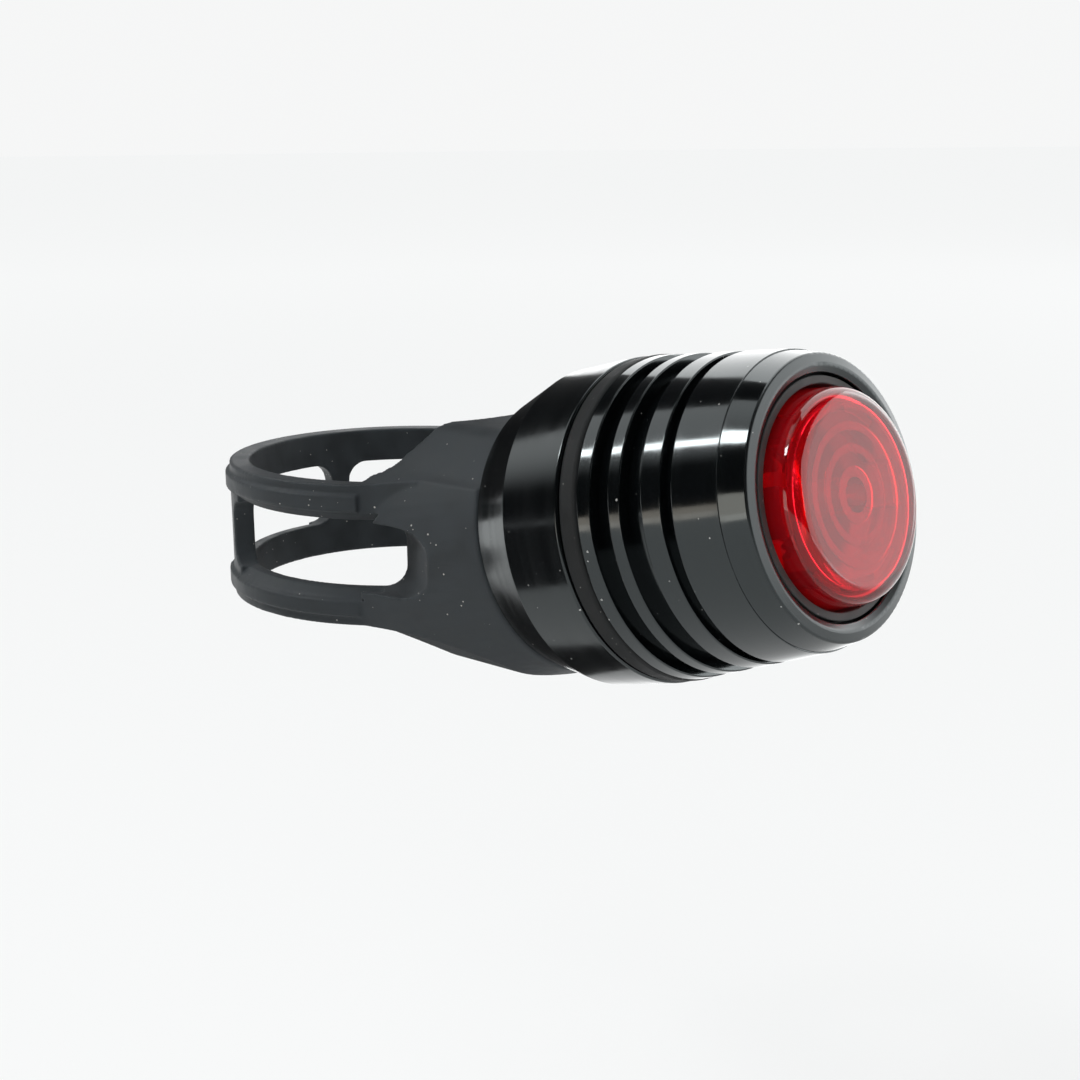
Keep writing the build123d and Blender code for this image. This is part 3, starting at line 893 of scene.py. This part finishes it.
class LIGHT_OT_fastening(Operator):
    """Finishes the hook plate, the screw and its washer"""

    bl_idname = "light.fastening"
    bl_label = "Hook, screw and washer"

    def execute(self, context):
        nylon = context.scene.light_inside.nylon
        steel = Vector(context.scene.light_metal.steel)
        dress(moulded("hook nylon", nylon, 0.48), "strap_hook")
        dress(plated("screw steel", steel, 0.28), "strap_screw", "screw_washer")
        return {"FINISHED"}


# Stage


class LIGHT_OT_stage(Operator):
    """Sets the floor, the lights and the camera"""

    bl_idname = "light.stage"
    bl_label = "Stage"

    # The lights stand one metre from here
    aim = Vector((0, -28, 3)) * MILLIMETRE

    # Name, azimuth and elevation in degrees, and sides in metres of each light
    windows = (
        ("window", 318.5, 38.5, (0.21, 0.07)),
        ("window top", 304.5, 48, (0.16, 0.16)),
    )
    window_roll = 50
    # With the share of the fill's radiance. Reflections leave these out
    fills = (
        ("top light", 285, 58, (0.5, 0.5), 1.7),
        ("fill", 232, 30, (0.7, 0.7), 0.8),
    )
    # With radiance and colour
    room_lights = (
        ("right softbox", 130, 12, (1.6, 1.0), 2.3, WHITE),
        ("doorway", 297, 0.5, (0.17, 0.13), 2.1, (1, 0.86, 0.74)),
        ("cupboard", 279, 0, (0.24, 0.5), 2.5, (1, 0.92, 0.83)),
    )

    floor_side = 60
    floor_grain = 2 * MILLIMETRE
    floor_colours = ((0.86, 0.865, 0.865), (0.88, 0.885, 0.885))
    floor_seen_colour = (0.15, 0.152, 0.152)
    floor_glow_colour = (0.99, 1.0, 1.0)

    strap_flag_height = 0.2
    cap_flag_place = (-0.075, 0.045, -0.03)
    cap_flag_sides = (0.042, 0.066, 1)
    cap_flag_turn = math.radians(46)
    flag_colours = ((0.008, 0.008, 0.009), (0.014, 0.014, 0.015))

    world_seen = 0.925
    world_colour = (0.995, 1.0, 1.0)
    ceiling_direction = (-0.15, 0.7, 0.69)

    camera_place = Vector((-101.89, -112.82, 32.91)) * MILLIMETRE
    camera_yaw = math.radians(46.8)
    camera_pitch = math.radians(13.08)
    camera_roll = math.radians(0.57)
    camera_lens = 56.43
    camera_sensor = 36
    camera_near = 5 * MILLIMETRE

    def execute(self, context):
        size = context.scene.light_stage
        self.floor(size)
        deselect()
        # A black stand-in for the seat post, seen only in reflections: a painted dark reflection of the
        # post
        bpy.ops.mesh.primitive_cylinder_add(
            vertices=96, radius=POST_RADIUS * 0.97, depth=self.strap_flag_height
        )
        self.flag("flag in the strap")
        deselect()
        # A black card beside the cap, seen only in reflections: a painted dark reflection on the cap
        bpy.ops.mesh.primitive_plane_add(
            size=1, location=self.cap_flag_place, rotation=(math.pi / 2, 0, self.cap_flag_turn)
        )
        bpy.context.object.scale = self.cap_flag_sides
        self.flag("flag beside the cap")
        self.world(context)
        for name, azimuth, elevation, sides in self.windows:
            self.panel(name, azimuth, elevation, sides, size.key, roll=self.window_roll)
        for name, azimuth, elevation, sides, radiance, colour in self.room_lights:
            self.panel(name, azimuth, elevation, sides, radiance, colour=colour)
        for name, azimuth, elevation, sides, share in self.fills:
            self.panel(name, azimuth, elevation, sides, size.fill * share, glossy=False)
        self.camera(context)
        context.scene.view_settings.view_transform = "Standard"
        return {"FINISHED"}

    def floor(self, size):
        """A pale floor that glows to the camera and in reflections, and else takes light as paper."""
        low = cad_low.z - size.floor_drop
        deselect()
        bpy.ops.mesh.primitive_plane_add(size=self.floor_side, location=(0, 0, low))
        floor = bpy.context.object
        floor.name = "floor"
        bpy.ops.object.transform_apply(location=True, rotation=True, scale=True)
        material, tree, shader = new_material("pale floor")
        grain = group_in(tree, "fine grain", {"Size": self.floor_grain})
        path = put(tree, "ShaderNodeLightPath").outputs
        seen = maths(tree, "ADD", path["Is Camera Ray"], path["Is Glossy Ray"])
        seen = maths(tree, "ADD", seen, path["Is Transmission Ray"], clamp=True)
        where = object_place(tree)
        # Brighter further out. In reflections only, a painted reflection: brighter behind the lamp and
        # darker in front
        glow = maths(tree, "MULTIPLY", seen, ramp(tree, length(tree, where), 0.15, 1.3, 0.76, 0.85))
        beyond = dot(tree, where, (0.766, 0.643, 0))
        painted_reflection = ramp(tree, beyond, 0.01, 0.1, -0.2, 0.9)
        # Only glossy rays take this painted reflection
        painted_reflection = maths(tree, "MULTIPLY_ADD", path["Is Glossy Ray"], painted_reflection, 1.0)
        paper = blend_colour(tree, grain["Tone"], *self.floor_colours)
        wire(
            tree,
            {
                "Base Color": blend_colour(tree, seen, paper, self.floor_seen_colour),
                "Roughness": 0.8,
                "Specular IOR Level": 0.0,
                "Emission Color": self.floor_glow_colour,
                "Emission Strength": maths(tree, "MULTIPLY", glow, painted_reflection),
            },
            shader,
        )
        dress(material, "floor")

    def flag(self, name):
        """Makes the new object a black flag that only reflections show. It paints a dark reflection: in
        the strap, where the seat post stands, and beside the cap.
        """
        flag = bpy.context.object
        flag.name = name.replace(" ", "_")
        bpy.ops.object.transform_apply(location=True, rotation=True, scale=True)
        flag.visible_camera = flag.visible_shadow = flag.visible_diffuse = False
        material, tree, shader = new_material(name)
        grain = group_in(tree, "fine grain", {"Size": 1 * MILLIMETRE})
        tone = blend_colour(tree, grain["Tone"], *self.flag_colours)
        wire(tree, {"Base Color": tone, "Roughness": 0.7}, shader)
        dress(material, flag.name)

    def world(self, context):
        """Pale to the camera. To the piece it is a dark room with a pale backdrop and a ceiling."""
        world = bpy.data.worlds.new("studio")
        context.scene.world = world
        world.use_nodes = True
        tree = world.node_tree
        tree.nodes.clear()
        path = put(tree, "ShaderNodeLightPath").outputs
        seen = maths(tree, "ADD", path["Is Camera Ray"], path["Is Transmission Ray"], clamp=True)
        where = put(tree, "ShaderNodeTexCoord").outputs["Generated"]
        parts = put(tree, "ShaderNodeSeparateXYZ", {"Vector": where}).outputs
        azimuth = maths(tree, "ARCTAN2", parts["X"], parts["Y"])
        elevation = maths(tree, "ARCSINE", parts["Z"])
        # The backdrop stands behind the lamp, and its left edge leans
        edge = maths(tree, "MULTIPLY_ADD", elevation, 0.415, azimuth)
        left = ramp(tree, edge, math.radians(43.5), math.radians(46))
        right = ramp(tree, azimuth, math.radians(112), math.radians(92))
        backdrop = maths(tree, "MULTIPLY", left, right)
        pale = maths(tree, "MULTIPLY_ADD", path["Is Glossy Ray"], 1.5, 1.0)
        backdrop = maths(tree, "MULTIPLY", backdrop, pale)
        overhead = dot(tree, where, self.ceiling_direction)
        ceiling = ramp(tree, overhead, 0.8, 0.97, 0.02, 1.3)
        room = maths(tree, "MAXIMUM", backdrop, ceiling)
        unlike = maths(tree, "SUBTRACT", self.world_seen, room)
        strength = maths(tree, "MULTIPLY_ADD", seen, unlike, room)
        shown = {"Color": self.world_colour, "Strength": strength}
        background = put(tree, "ShaderNodeBackground", shown)
        output = tree.nodes.new("ShaderNodeOutputWorld")
        tree.links.new(background.outputs[0], output.inputs["Surface"])

    def panel(
        self, name, azimuth, elevation, sides, radiance, colour=WHITE, glossy=True, roll=0
    ):
        """A soft light at an azimuth from +Y towards +X. Its power follows from the radiance."""
        turn, lift = math.radians(azimuth), math.radians(elevation)
        level = math.cos(lift)
        away = Vector((math.sin(turn) * level, math.cos(turn) * level, math.sin(lift)))
        lamp = bpy.data.lights.new(name, "AREA")
        lamp.shape = "RECTANGLE"
        lamp.size, lamp.size_y = sides
        lamp.color = colour
        lamp.energy = radiance * math.pi * sides[0] * sides[1]
        holder = bpy.data.objects.new(name, lamp)
        bpy.context.scene.collection.objects.link(holder)
        holder.location = self.aim + away
        facing = (-away).to_track_quat("-Z", "Y").to_matrix()
        rolled = facing @ Matrix.Rotation(math.radians(roll), 3, "Z")
        holder.rotation_euler = rolled.to_euler()
        holder.visible_camera = False
        holder.visible_glossy = glossy

    def camera(self, context):
        """Stands where the photo was taken, fitted to the post and the turned edges."""
        lens = bpy.data.cameras.new("camera")
        lens.sensor_width = self.camera_sensor
        lens.lens = self.camera_lens
        lens.clip_start = self.camera_near
        holder = bpy.data.objects.new("camera", lens)
        context.scene.collection.objects.link(holder)
        aimed = Euler((math.pi / 2 - self.camera_pitch, 0, -self.camera_yaw)).to_matrix()
        rolled = aimed @ Matrix.Rotation(-self.camera_roll, 3, "Z")
        holder.location = self.camera_place
        holder.rotation_euler = rolled.to_euler()
        context.scene.camera = holder


class LIGHT_PT_sidebar(Panel):
    """Settings and steps of the rear light"""

    bl_label = "Rear light"
    bl_space_type = "VIEW_3D"
    bl_region_type = "UI"
    bl_category = "Rear light"

    def draw(self, context):
        for name, kind in SETTINGS.items():
            box = self.layout.box()
            for field in kind.__annotations__:
                box.prop(getattr(context.scene, name), field)
        for step in STEPS:
            self.layout.operator(step.bl_idname)


STEPS = (
    LIGHT_OT_strap,
    LIGHT_OT_metal,
    LIGHT_OT_seals,
    LIGHT_OT_lens,
    LIGHT_OT_inside,
    LIGHT_OT_fastening,
    LIGHT_OT_stage,
)


def register():
    for kind in (*SETTINGS.values(), *STEPS, LIGHT_PT_sidebar):
        bpy.utils.register_class(kind)
    for name, kind in SETTINGS.items():
        setattr(bpy.types.Scene, name, PointerProperty(type=kind))


def unregister():
    for name in SETTINGS:
        delattr(bpy.types.Scene, name)
    for kind in (LIGHT_PT_sidebar, *reversed(STEPS), *reversed(tuple(SETTINGS.values()))):
        bpy.utils.unregister_class(kind)


def main():
    register()
    for make in EFFECTS:
        make()
    bpy.ops.light.strap()
    bpy.ops.light.metal()
    bpy.ops.light.seals()
    bpy.ops.light.lens()
    bpy.ops.light.inside()
    bpy.ops.light.fastening()
    bpy.ops.light.stage()


if __name__ == "__main__":
    main()
